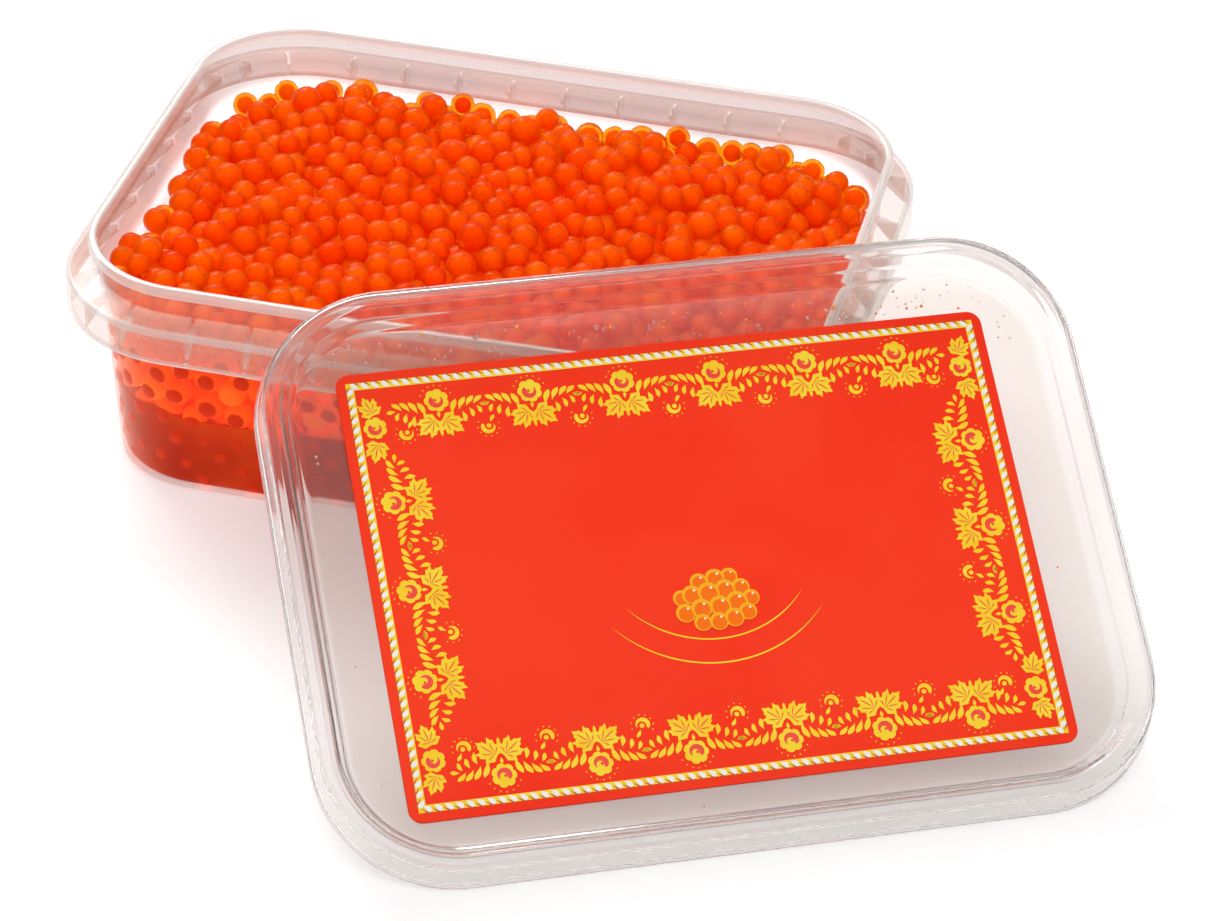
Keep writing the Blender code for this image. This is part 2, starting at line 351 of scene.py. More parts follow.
fin = depth.between(outer_face[0] + 0.0001, outer_face[1]) * (1 - skirt) * below_ledge
thick = skirt * (height.between(ledge_edge - 0.0014, ledge_edge - 0.0004)
                 + 1 - height.between(skirt_end + 0.0003, skirt_end + 0.0011)) + fin + lip
# Painted light: the inner face is painted shade at the back and sides and painted orange roe light at the
# front, mixed with the juice's real stain.
juice_and_painted_light = (0.6 * juice).blend(front.blend(painted_shade_back, painted_roe_light_front), juicy)
tub_color = wet.blend(inner.blend(milky, juice_and_painted_light), drenched)
tub_color = fin.blend(thick.blend(tub_color, pale_milky), whitest)
inside = front * (front_haze - inner_haze_and_shade) + (inner_haze_and_shade - dry_haze)
dry = inner * (1 - lip) * inside + dry_haze + thick * (thick_haze - dry_haze)
haze = wet * (wet_haze - dry) + dry
facing = finish.node("ShaderNodeLayerWeight", None, {"Blend": 0.5}, out=1)
glance = facing.maths("POWER", facing, 3.0) * (0.7 - 0.7 * fin)
paint(finish, base_color=tub_color, roughness=0.22, specular_ior_level=0.9, coat_weight=0.6,
      coat_roughness=0.12, alpha=haze + (1 - haze) * glance, normal=ripple)

tub = loft("tub_shell", [tub_ring(inset, height) for inset, height in tub_profile], tub_plastic)

rib_pitch = 0.0133
rib_half = 0.0005
rib_sink = 0.0004
rib_profile = [(-neck_inset - rib_sink, ledge - 0.0024), (-neck_inset - rib_sink, ledge - 0.0006),
               (ledge_reach - rib_sink, ledge_edge - rib_sink),
               (ledge_reach - rib_sink, skirt_end + rib_sink),
               (ledge_reach - skirt_wall - rib_sink, skirt_end + rib_sink)]
rib_places = []
for turn in range(4):
    outward = Vector((round(math.cos(math.radians(90 * turn))), round(math.sin(math.radians(90 * turn)))))
    along = Vector((-outward.y, outward.x))
    reach = (rim_length if turn % 2 == 0 else rim_width) / 2
    straight = (rim_width if turn % 2 == 0 else rim_length) / 2 - rim_corner
    count = int(straight / rib_pitch)
    for step in range(-count, count + 1):
        rib_places.append((outward * reach + along * step * rib_pitch, outward))
    centre = outward * (reach - rim_corner) + along * straight
    for swing in np.radians([90 * turn + 22.5, 90 * turn + 45, 90 * turn + 67.5]):
        spoke = Vector((math.cos(swing), math.sin(swing)))
        rib_places.append((centre + spoke * rim_corner, spoke))
ribs = bpy.data.collections.new("ribs")
for number, (place, outward) in enumerate(rib_places):
    along = Vector((-outward.y, outward.x)) * rib_half
    points = [(*(place + side * along + outward * out), up) for side in (-1, 1) for out, up in rib_profile]
    faces = [(4, 3, 2, 1, 0), (5, 6, 7, 8, 9)]
    faces += [(place, (place + 1) % 5, 5 + (place + 1) % 5, 5 + place) for place in range(5)]
    rib = add_mesh(f"rib_{number}", points, faces, tub_plastic)
    bpy.context.collection.objects.unlink(rib)
    ribs.objects.link(rib)
union = tub.modifiers.new("ribs", "BOOLEAN")
union.operation = "UNION"
union.operand_type = "COLLECTION"
union.collection = ribs
union.solver = "EXACT"


def settle(piece):
    """Turns what a piece's modifiers make into its own plain mesh."""
    graph = bpy.context.evaluated_depsgraph_get()
    mesh = bpy.data.meshes.new_from_object(piece.evaluated_get(graph))
    piece.modifiers.clear()
    piece.data = mesh
    return piece


settle(tub)
for rib in list(ribs.objects):
    bpy.data.objects.remove(rib, do_unlink=True)
bpy.data.collections.remove(ribs)
tub.data.shade_smooth()
tub.data.set_sharp_from_angle(angle=math.radians(30))
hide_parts("tub")
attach(tub, "root")


# Roe: loose salmon eggs, each a soft clear-skinned ball, poured into the tub until they heap up
# under the rim. They are dropped one by one and roll to rest on the eggs below or on the wall.
egg_radius = (0.0028, 0.0035)
egg_squash = 0.0005
egg_bite = 0.00060
egg_swell = 1.045
egg_seed = 5
heap_level = 0.0415
heap_rise = 0.0066
heap_tilt = 0.0009
heap_slack = 0.0010
pile_place = (-0.068, -0.038)
pile_rise = 0.0030
pile_reach = 0.013
coarse_lump = 0.0015
fine_lump = 0.0009
sticky_share = 0.15
near_reach = 0.022
tries = 250


def heap_top(x, y):
    """Height that the eggs' tops reach: a full, lumpy heap that falls off towards the ends and is
    piled a little higher in the front left corner."""
    across = x / (rim_length / 2)
    deep = y / (rim_width / 2)
    heap = heap_rise * (1 - across ** 4) * (1 - deep ** 8)
    from_pile = (x - pile_place[0]) ** 2 + (y - pile_place[1]) ** 2
    pile = pile_rise * np.exp(-from_pile / (2 * pile_reach ** 2))
    lumps = coarse_lump * np.sin(118 * x + 1.0) * np.cos(132 * y + 0.6) + fine_lump * np.sin(240 * x - 215 * y)
    return heap_level + heap + pile - heap_tilt * across + lumps


def wall_inset(height):
    """How far inside the rim's outer edge the tub's inner wall stands at a height."""
    share = np.clip((height - base_fillet) / (step_height - base_fillet), 0.0, 1.0)
    return base_inset + (step_inset - base_inset) * share + tub_wall


def wall_corner(height, inset):
    """The corner radius of the tub's outline at a height and an inset from the rim."""
    share = np.clip((step_height - height) / (step_height - base_fillet), 0.0, 1.0)
    return rim_corner - inset + slack_corner * share


def keep_inside(x, y, height, radius):
    """The nearest place at which an egg's centre is inside the wall, for arrays of places."""
    inset = wall_inset(height) + radius - egg_bite
    corner = wall_corner(height, inset)
    core_x = rim_length / 2 - inset - corner
    core_y = rim_width / 2 - inset - corner
    out_x = np.abs(x) - core_x
    out_y = np.abs(y) - core_y
    far = np.hypot(np.maximum(out_x, 0), np.maximum(out_y, 0))
    pull = np.where(far > corner, corner / np.maximum(far, 1e-9), 1.0)
    new_x = np.sign(x) * np.where(out_x > 0, core_x + out_x * pull, np.abs(x))
    new_y = np.sign(y) * np.where(out_y > 0, core_y + out_y * pull, np.abs(y))
    return new_x, new_y


def pour_eggs():
    """Places and radii of eggs that have rolled to rest, up to the heap's top."""
    chance = np.random.default_rng(egg_seed)
    eggs = np.zeros((6000, 4))
    count = 0
    compass = np.radians(np.arange(0, 360, 45))
    rose = np.stack([np.append(np.cos(compass), 0.0), np.append(np.sin(compass), 0.0)])
    refused = 0
    while refused < tries and count < len(eggs):
        radius = chance.uniform(*egg_radius)
        x = chance.uniform(-0.5, 0.5) * rim_length
        y = chance.uniform(-0.5, 0.5) * rim_width
        height = heap_top(x, y)
        known = eggs[:count]
        near = known[(np.abs(known[:, 0] - x) < near_reach) & (np.abs(known[:, 1] - y) < near_reach)]

        def rest(at_x, at_y):
            """The height at which the egg's centre would rest over each of some places."""
            gap = (at_x[:, None] - near[:, 0]) ** 2 + (at_y[:, None] - near[:, 1]) ** 2
            reach = (radius + near[:, 3] - egg_squash) ** 2 - gap
            tops = np.where(reach > 0, near[:, 2] + np.sqrt(np.maximum(reach, 0)), 0.0)
            return np.maximum(tops.max(axis=1, initial=0.0), tub_floor + radius - egg_bite)

        sticky = chance.random() < sticky_share
        for stride in (0.0015,) if sticky else (0.0030, 0.0015, 0.0007, 0.0003, 0.0001):
            for _ in range(2 if sticky else 7):
                try_x, try_y = keep_inside(x + rose[0] * stride, y + rose[1] * stride, height, radius)
                heights = rest(try_x, try_y)
                best = int(np.argmin(heights))
                x, y, height = try_x[best], try_y[best], heights[best]
                if best == len(compass):
                    break
        if height + radius > heap_top(x, y) + heap_slack:
            refused += 1
            continue
        refused = 0
        eggs[count] = (x, y, height, radius)
        count += 1
    return eggs[:count]


top_layer = 0.0117
wall_layer = 0.0058
base_layer = 0.0065
inner_corner = rim_corner - 0.004
eggs = pour_eggs()
eggs[:, 3] *= egg_swell
x, y, z, r = eggs.T
inset_x = rim_length / 2 - wall_inset(z) - np.abs(x)
inset_y = rim_width / 2 - wall_inset(z) - np.abs(y)
corner_x = np.maximum(inner_corner - inset_x, 0)
corner_y = np.maximum(inner_corner - inset_y, 0)
from_corner = inner_corner - np.hypot(corner_x, corner_y)
from_wall = np.where((corner_x > 0) & (corner_y > 0), from_corner, np.minimum(inset_x, inset_y))
under_top = heap_top(x, y) - z
on_top = under_top < top_layer
at_wall = (from_wall < wall_layer) & ~on_top
at_base = (z < base_layer) & ~on_top & ~at_wall
print("eggs poured", len(eggs), "top", on_top.sum(), "wall", at_wall.sum(), "base", at_base.sum())


def scatter_tree(name, shape, material):
    """Geometry Nodes that put a shape on every point, sized and turned by the points' attributes."""
    tree = bpy.data.node_groups.new(name, "GeometryNodeTree")
    tree.interface.new_socket(name="Points", in_out="INPUT", socket_type="NodeSocketGeometry")
    size = tree.interface.new_socket(name="Size", in_out="INPUT", socket_type="NodeSocketFloat")
    size.default_value = 1.0
    tree.interface.new_socket(name="Pieces", in_out="OUTPUT", socket_type="NodeSocketGeometry")
    new = tree.nodes.new
    join = tree.links.new
    entry = new("NodeGroupInput")
    leave = new("NodeGroupOutput")
    radius = new("GeometryNodeInputNamedAttribute")
    radius.inputs["Name"].default_value = "radius"
    scale = new("ShaderNodeMath")
    scale.operation = "MULTIPLY"
    join(radius.outputs["Attribute"], scale.inputs[0])
    join(entry.outputs["Size"], scale.inputs[1])
    turn = new("GeometryNodeInputNamedAttribute")
    turn.data_type = "FLOAT_VECTOR"
    turn.inputs["Name"].default_value = "turn"
    to_turn = new("FunctionNodeEulerToRotation")
    join(turn.outputs["Attribute"], to_turn.inputs[0])
    instances = new("GeometryNodeInstanceOnPoints")
    join(entry.outputs["Points"], instances.inputs["Points"])
    join(shape(tree), instances.inputs["Instance"])
    join(scale.outputs[0], instances.inputs["Scale"])
    join(to_turn.outputs[0], instances.inputs["Rotation"])
    real = new("GeometryNodeRealizeInstances")
    join(instances.outputs[0], real.inputs[0])
    dress = new("GeometryNodeSetMaterial")
    dress.inputs["Material"].default_value = material
    join(real.outputs[0], dress.inputs["Geometry"])
    join(dress.outputs[0], leave.inputs[0])
    return tree


def soft_ball(tree):
    """A unit ball made of a cube's grid, with its height on its own axis kept as the attribute pole."""
    cube = tree.nodes.new("GeometryNodeMeshCube")
    for axis in ("X", "Y", "Z"):
        cube.inputs[f"Vertices {axis}"].default_value = 5
    place = tree.nodes.new("GeometryNodeInputPosition")
    unit = tree.nodes.new("ShaderNodeVectorMath")
    unit.operation = "NORMALIZE"
    tree.links.new(place.outputs[0], unit.inputs[0])
    move = tree.nodes.new("GeometryNodeSetPosition")
    tree.links.new(cube.outputs["Mesh"], move.inputs["Geometry"])
    tree.links.new(unit.outputs[0], move.inputs["Position"])
    split = tree.nodes.new("ShaderNodeSeparateXYZ")
    tree.links.new(place.outputs[0], split.inputs[0])
    keep = tree.nodes.new("GeometryNodeStoreNamedAttribute")
    keep.inputs["Name"].default_value = "pole"
    tree.links.new(move.outputs[0], keep.inputs["Geometry"])
    tree.links.new(split.outputs[2], keep.inputs["Value"])
    smooth = tree.nodes.new("GeometryNodeSetShadeSmooth")
    tree.links.new(keep.outputs[0], smooth.inputs["Geometry"])
    return smooth.outputs[0]


def scatter(name, points, radii, turns, tones_and_backlight, tree, size=1.0):
    """A plain mesh of the tree's shape on every point."""
    mesh = bpy.data.meshes.new(name)
    mesh.from_pydata([tuple(point) for point in points], [], [])
    for label, kind, field, values in (("radius", "FLOAT", "value", radii),
                                       ("turn", "FLOAT_VECTOR", "vector", turns),
                                       ("tone", "FLOAT", "value", tones_and_backlight)):
        layer = mesh.attributes.new(label, kind, "POINT")
        layer.data.foreach_set(field, np.asarray(values, np.float32).ravel())
    piece = bpy.data.objects.new(name, mesh)
    bpy.context.collection.objects.link(piece)
    maker = piece.modifiers.new("scatter", "NODES")
    maker.node_group = tree
    inputs = [item for item in tree.interface.items_tree if item.in_out == "INPUT"]
    identifiers = {item.name: item.identifier for item in inputs}
    maker[identifiers["Size"]] = size
    return settle(piece)


yolk_share = 0.56
tone_middle, tone_spread = 0.48, 0.22
edge_backlight = 0.30
shine_tint = (1.0, 0.40, 0.12, 1.0)
# Painted light: an orange glow, from no lamp, given to the eggs and the hidden core to lift their crevices and
# shaded sides.
painted_glow = (1.0, 0.035, 0.0, 1.0)
scatter_share = (1.0, 0.30, 0.05)
scatter_length = 0.0030
glassy_share = 0.72
roe_skin, finish = new_material("roe_skin")
tone = finish.mark("tone")
pole = finish.mark("pole")
skin = tone.node("ShaderNodeValToRGB", {"stops": [(0.0, (0.93, 0.085, 0.0)), (0.45, (0.97, 0.160, 0.0)),
                                                  (1.0, (1.0, 0.27, 0.001))]}, {"Fac": tone})
# Painted highlight: a paler cap on one side of each egg stands for the bright spot of light focused through it.
spot = pole.between(0.30, 0.46) * 0.30
soft = principled(finish, base_color=spot.blend(skin, (1.0, 0.32, 0.004)), roughness=0.30, ior=1.38,
                  specular_ior_level=0.12, specular_tint=shine_tint, subsurface_weight=1.0,
                  subsurface_radius=scatter_share, subsurface_scale=scatter_length,
                  emission_color=painted_glow, emission_strength=0.12)
clear = principled(finish, base_color=(1.0, 0.50, 0.014, 1.0), roughness=0.12, ior=1.20,
                   specular_tint=shine_tint, transmission_weight=1.0)
surface(finish, finish.node("ShaderNodeMixShader", None, {0: glassy_share, 1: soft, 2: clear}))
egg_tree = scatter_tree("egg_on_point", soft_ball, roe_skin)

roe_yolk, finish = new_material("roe_yolk")
tone = finish.mark("tone")
# Painted light: the yolks glow orange, from no lamp, so the eggs seem lit from within.
paint(finish, base_color=tone.blend((1.0, 0.095, 0.0), (1.0, 0.24, 0.002)), roughness=0.6,
      specular_ior_level=0.0, emission_color=(1.0, 0.060, 0.0, 1.0), emission_strength=0.22)
yolk_tree = scatter_tree("yolk_on_point", soft_ball, roe_yolk)

wet_skin, finish = new_material("roe_at_wall")
tone = finish.mark("tone")
pressed = into_wall(finish).between(-0.00002, 0.00008)
bright = tone.blend((0.98, 0.085, 0.0), (1.0, 0.20, 0.003))
# Painted light: the eggs behind the dim wall glow orange, from no lamp, weaker where they press on it.
paint(finish, base_color=pressed.blend(bright, (0.60, 0.022, 0.0)), roughness=0.4,
      specular_ior_level=0.08, specular_tint=shine_tint, subsurface_weight=0.6,
      subsurface_radius=scatter_share, subsurface_scale=scatter_length,
      emission_color=pressed.blend((0.85, 0.050, 0.0), (0.50, 0.010, 0.0)), emission_strength=0.32)
wall_tree = scatter_tree("egg_at_wall", soft_ball, wet_skin)

chance = np.random.default_rng(egg_seed + 1)
turns = chance.uniform(0, math.tau, (len(eggs), 3))
# Painted light: eggs on the heap's top get paler towards the tub's ends and sides, standing for light shining
# through them. The rest of each egg's tone is random.
from_middle = np.maximum(np.abs(x) / rim_length, np.abs(y) / rim_width) * 2
paler = np.where(on_top, edge_backlight * from_middle ** 2, 0.0)
tones_and_backlight = np.clip(chance.normal(tone_middle, tone_spread, len(eggs)) + paler, 0, 1)
for name, chosen, tree, size in (("eggs_on_top", on_top, egg_tree, 1.0),
                                 ("yolks_on_top", on_top, yolk_tree, yolk_share),
                                 ("eggs_at_wall", at_wall, wall_tree, 1.0),
                                 ("eggs_at_base", at_base, wall_tree, 1.0)):
    heap = scatter(name, eggs[chosen, :3], r[chosen], turns[chosen], tones_and_backlight[chosen], tree, size)
    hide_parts("roe")
    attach(heap, "root")


# Roe's core: the eggs that can't be seen, as one soft mass that closes the gaps behind the outer
# ones. It follows the tub's wall and the heap's top at a distance.
core_inset = 0.0048
core_depth = 0.0085
core_heights = (0.0050, 0.0150, 0.0300)
roe_core, finish = new_material("roe_core")
depths = finish.noise(260.0, 1.0).between(0.35, 0.65)
# The core's glow is painted light that lifts the gaps between the outer eggs.
paint(finish, base_color=depths.blend((0.90, 0.050, 0.0), (1.0, 0.13, 0.0)), roughness=0.5,
      specular_ior_level=0.0, emission_color=painted_glow, emission_strength=0.15)
core_rings = [tub_ring(wall_inset(height) + core_inset, height) for height in core_heights]
core_rim = core_rings[-1]
for shrink in (1.0, 0.85, 0.65, 0.4, 0.15):
    core_rings.append([(x * shrink, y * shrink, heap_top(x * shrink, y * shrink) - core_depth)
                       for x, y, _ in core_rim])
core = loft("roe_core", core_rings, roe_core, sharp=180)
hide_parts("roe")
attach(core, "root")


# Brine: the juice that has run down and fills the gaps between the lowest eggs. It wets the wall up
# to a wavy line, and there the eggs show only as soft blots in its dark red.
brine_level = 0.0195
brine, finish = new_material("brine")
where = finish.node("ShaderNodeTexCoord", out=3)
blots = finish.node("ShaderNodeTexVoronoi", {"feature": "SMOOTH_F1"},
                    {"Vector": where, "Scale": 150.0, "Smoothness": 1.0}).between(0.15, 0.75)
patches = finish.noise(28.0, 2.0).between(0.38, 0.66)
deep_red = patches.blend((0.54, 0.012, 0.0), (0.78, 0.030, 0.0))
paint(finish, base_color=((1 - blots) * 0.4 * patches).blend(deep_red, (0.95, 0.095, 0.0)),
      roughness=0.2, specular_ior_level=0.08, specular_tint=shine_tint)


def brine_line(x, y):
    """The height of the brine's wavy edge on the wall."""
    around = math.atan2(y / rim_width, x / rim_length)
    return (brine_level + 0.0012 * math.sin(7 * around) + 0.0008 * math.sin(19 * around + 1)
            + 0.0004 * math.sin(41 * around))


brine_into_wall = 0.0003
brine_rings = []
for inset, height in filleted([(base_inset + tub_wall + 0.005, tub_floor - brine_into_wall, 0),
                               (base_inset + tub_wall, tub_floor - brine_into_wall, 0.003),
                               (wall_inset(0.010), 0.010, 0)]):
    brine_rings.append(tub_ring(inset - brine_into_wall, height))
side = tub_ring(wall_inset(brine_level) - brine_into_wall, brine_level)
brine_rings.append([(x, y, brine_line(x, y)) for x, y, _ in side])
brine_rings.append([(x * 0.97, y * 0.96, brine_line(x, y) - 0.0012) for x, y, _ in side])
brine_rings.append([(x * 0.90, y * 0.88, brine_level - 0.0015) for x, y, _ in side])
juice = loft("roe_brine", brine_rings, brine)
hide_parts("roe")
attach(juice, "root")


# Lid: a clearer, glossier moulding that leans on the tub's front right corner. A ridge that clips
# over the rim runs round a sunken panel, and its skirt flares to the free edge.
lid_length = 0.1784
lid_width = 0.1316
lid_corner = 0.0288
lid_height = 0.0090
lid_wall = 0.0008
lid_flare = 0.0013
ridge_end = lid_flare + 0.0042
panel_inset = 0.0082
panel_top = 0.0023
lid_tilt = math.radians(31.47)
lid_swing = math.radians(26.75)
lid_foot = Matrix.Translation((0.0952, -0.1460, 0.0))
lid_turn = Euler((lid_tilt, 0.0, lid_swing)).to_matrix().to_4x4()
lid_pose = lid_foot @ lid_turn @ Matrix.Translation((0.0, lid_width / 2, 0.0))


def lid_ring(inset, height):
    """The lid's outline at an inset from its free edge, posed in the scene."""
    outline = rounded_rectangle(lid_length - 2 * inset, lid_width - 2 * inset, lid_corner - inset)
    return [lid_pose @ Vector((x, y, height)) for x, y in outline]


under_ridge = lid_height - lid_wall
middle = panel_top + (lid_height - panel_top) / 2
lid_profile = filleted([
    (panel_inset + 0.0010, panel_top - lid_wall, 0),
    (panel_inset - lid_wall, panel_top - lid_wall, 0.0006),
    (ridge_end - lid_wall, under_ridge, 0.0010),
    (lid_flare + lid_wall, under_ridge, 0.0010),
    (lid_wall, 0.0, 0.0002),
    (0.0, 0.0, 0.0002),
    (0.0002, 0.0016, 0.0004),
    (0.0007, 0.0020, 0.0004),
    (lid_flare - 0.0002, lid_height - 0.0022, 0.0004),
    (lid_flare + 0.0004, lid_height - 0.0018, 0.0004),
    (lid_flare + 0.0005, lid_height, 0.0009),
    (lid_flare + 0.0018, lid_height, 0.0003),
    (lid_flare + 0.0021, lid_height - 0.0003, 0.0003),
    (lid_flare + 0.0024, lid_height, 0.0003),
    (ridge_end - 0.0002, lid_height, 0.0010),
    (ridge_end + 0.0010, middle, 0.0003),
    (ridge_end + 0.0015, middle - 0.0003, 0.0003),
    (panel_inset, panel_top + 0.0003, 0.0006),
    (panel_inset + 0.0010, panel_top, 0),
])

lid_plastic, finish = new_material("lid_plastic")
fog = finish.noise(45.0, 3.0).between(0.30, 0.72)
scuffs = finish.noise(90.0, 3.0).bump(0.10, 0.0003)
panel = finish.mark("panel")
# The panel's warm grey is partly the plastic's tint and partly painted shade, standing for the lid's shadow on
# the table under it.
lid_tint_and_shade = panel.blend((0.90, 0.875, 0.86), (0.81, 0.75, 0.71))
paint(finish, base_color=lid_tint_and_shade, roughness=0.06 + fog * 0.08, ior=1.30, transmission_weight=0.94,
      normal=scuffs)
lid = loft("lid_shell", [lid_ring(inset, height) for inset, height in lid_profile], lid_plastic,
           marks={"panel": [float(inset > panel_inset - 0.0001) for inset, height in lid_profile]})
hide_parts("lid")
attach(lid, "root")


# Label: a printed film with round corners, stuck on the lid's sunken panel. It is satin red out to
# its edge, with a faint grain.
label_length = 0.1411
label_width = 0.0999
label_corner = 0.0030
label_low = panel_top + 0.0001
label_high = panel_top + 0.0006
label_shift = (-0.0006, -0.0019)
label_pose = lid_pose @ Matrix.Translation((*label_shift, 0.0))

label_red, finish = new_material("label_red")
red = finish.noise(22.0, 2.0).between(0.3, 0.7).blend((0.99, 0.034, 0.010), (1.0, 0.050, 0.0145))
grain = finish.noise(700.0, 2.0).bump(0.10, 0.00004)
paint(finish, base_color=red, roughness=0.42, specular_ior_level=0.07, normal=grain)


def label_ring(inset, height):
    """The label's outline at an inset from its edge, posed on the lid."""
    outline = rounded_rectangle(label_length - 2 * inset, label_width - 2 * inset, label_corner - inset, 8)
    return [label_pose @ Vector((x, y, height)) for x, y in outline]


label = loft("label_film", [label_ring(0.0, label_low), label_ring(0.0, label_high - 0.0001),
                            label_ring(0.0001, label_high)], label_red)
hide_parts("label")
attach(label, "root")


# Print on the label: a twisted rope inside the edge, and inside that a band of gold flowers, leaves
# and sprigs. All of it is flat ink, in shapes laid on the film, with overlapping ones at levels of
# their own.
ink_level = 0.000003


class Ink:
    """Flat shapes drawn in the label's own plane, gathered into one mesh."""

    def __init__(self, lift):
        self.lift = lift
        self.points = []
        self.faces = []

    def shape(self, outline, pose=None, level=0):
        pose = pose or Matrix.Identity(3)
        first = len(self.points)
        height = label_high + self.lift + level * ink_level
        for x, y in outline:
            spot = pose @ Vector((x, y, 1.0))
            self.points.append(label_pose @ Vector((spot.x, spot.y, height)))
        turned = pose.determinant() < 0
        order = range(first, len(self.points))
        self.faces.append(tuple(reversed(order)) if turned else tuple(order))

    def piece(self, name, material):
        done = add_mesh(name, self.points, self.faces, material)
        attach(done, "root")


def placed(x, y, angle=0.0, size=1.0, mirror=1):
    """A move in the label's plane: mirror and size first, then turn, then shift."""
    c, s = math.cos(angle), math.sin(angle)
    return Matrix(((mirror * size * c, -size * s, x), (mirror * size * s, size * c, y), (0.0, 0.0, 1.0)))


def disc(radius, x=0.0, y=0.0, sides=14):
    """A round dot about a point."""
    return [(x + radius * math.cos(math.tau * k / sides), y + radius * math.sin(math.tau * k / sides))
            for k in range(sides)]


def petal(length, width, bend=0.0, sides=7):
    """A drop that starts in a point at the origin and swells upwards, bent to one side."""
    right, left = [], []
    for step in range(sides + 1):
        share = step / sides
        half = width / 2 * math.sin(math.pi * share ** 1.5) ** 0.8
        lean = bend * share ** 2
        right.append((lean + half, length * share))
        left.append((lean - half, length * share))
    return right[:-1] + [(bend, length)] + left[1:-1][::-1]


def leaf(size):
    """A pointed leaf with five ragged lobes."""
    lobes = ((0, 1.0), (9, 0.80), (13, 0.82), (19, 0.60), (31, 0.86), (40, 0.68), (46, 0.69), (54, 0.46),
             (74, 0.58), (88, 0.40), (112, 0.30))
    right = [(size * reach * math.sin(math.radians(angle)), size * reach * math.cos(math.radians(angle)))
             for angle, reach in lobes]
    left = [(-x, y) for x, y in right[1:]]
    return [(0.0, -size * 0.05)] + right[::-1] + left


def curl(radius, start, sweep, width, sides=10):
    """A comma: a stroke along an arc, in degrees, that swells to a round head and ends in a point."""
    outer, inner = [], []
    for step in range(sides + 1):
        share = step / sides
        angle = math.radians(start + sweep * share)
        half = width / 2 * math.sin(math.pi * (0.04 + 0.96 * share) ** 0.6) ** 0.8
        outer.append(((radius + half) * math.cos(angle), (radius + half) * math.sin(angle)))
        inner.append(((radius - half) * math.cos(angle), (radius - half) * math.sin(angle)))
    return outer + inner[-2::-1]


def bloom(radius, lobes=7):
    """A round flower with a scalloped edge."""
    outline = []
    for step in range(lobes * 6):
        angle = math.tau * step / (lobes * 6)
        reach = radius * (0.84 + 0.16 * abs(math.sin(lobes * angle / 2)) ** 0.6)
        outline.append((reach * math.cos(angle), reach * math.sin(angle)))
    return outline


MM = 0.001


def draw_sprig(ink, pose):
    """An arch of leaflets, long ones above and short ones curling down below, with one at its tip."""
    for step in range(4):
        share = step / 4
        foot = (6.4 * MM * share, 1.9 * MM * math.sin(1.7 * share))
        up = (3.5 - 1.2 * share) * MM
        down = (2.7 - 1.0 * share) * MM
        ink.shape(petal(up, (1.25 - 0.25 * share) * MM, 0.22 * up),
                  pose @ placed(*foot, -math.radians(8 + 38 * share)))
        ink.shape(petal(down, (1.15 - 0.25 * share) * MM, 0.28 * down),
                  pose @ placed(foot[0] + 0.6 * MM, foot[1] - 0.4 * MM, -math.radians(160 - 30 * share)))
    ink.shape(petal(2.0 * MM, 0.9 * MM), pose @ placed(6.1 * MM, 1.8 * MM, -1.7))


def draw_flower(ink, detail, pose, radius):
    """A scalloped bloom with a comma curl and a small dot on it."""
    ink.shape(bloom(radius), pose, 5)
    detail.shape(curl(0.44 * radius, 140, 270, 0.46 * radius), pose)
    detail.shape(disc(0.13 * radius, -0.1 * radius, 0.02 * radius, 8), pose)


def draw_leaf(ink, detail, pose, size, level=1):
    """A leaf with five veins in it."""
    ink.shape(leaf(size), pose, level)
    detail.shape(petal(0.80 * size, 0.06 * size, sides=4), pose)
    for side in (-1, 1):
        for angle, reach in ((33, 0.58), (74, 0.38)):
            vein = pose @ placed(0.0, 0.05 * size, -side * math.radians(angle))
            detail.shape(petal(reach * size, 0.05 * size, sides=4), vein, 1)


def draw_bud(ink, pose):
    """A crescent round a small disc, with a row of dots outside it."""
    ink.shape(curl(1.25 * MM, 150, 235, 0.95 * MM), pose)
    ink.shape(disc(0.52 * MM, 0.10 * MM, 0.10 * MM, 10), pose, 1)
    ink.shape(petal(1.9 * MM, 0.8 * MM, 0.3 * MM), pose @ placed(0.5 * MM, 0.9 * MM, -0.4), 1)
    for step in range(8):
        angle = math.radians(150 + 32 * step)
        ink.shape(disc(0.15 * MM, 2.3 * MM * math.cos(angle), 2.3 * MM * math.sin(angle), 6), pose)


def draw_unit(ink, detail, pose):
    """One length of the band: a flower over two leaves, with a sprig to each side."""
    draw_flower(ink, detail, pose @ placed(0.0, 3.1 * MM), 2.65 * MM)
    ink.shape(petal(1.4 * MM, 0.7 * MM), pose @ placed(0.0, -0.9 * MM))
    ink.shape(petal(2.6 * MM, 0.7 * MM), pose @ placed(0.0, -2.6 * MM, math.pi), 7)
    for side in (-1, 1):
        draw_leaf(ink, detail, pose @ placed(side * 0.9 * MM, -1.4 * MM, -side * 2.25), 5.0 * MM, 2 + side)
        draw_sprig(ink, pose @ placed(side * 2.8 * MM, -0.3 * MM, 0.0, 1.0, side))
    for step in range(7):
        angle = math.radians(24 + 22 * step)
        ink.shape(disc(0.16 * MM, 3.5 * MM * math.cos(angle), (3.1 + 3.5 * math.sin(angle)) * MM, 6), pose)


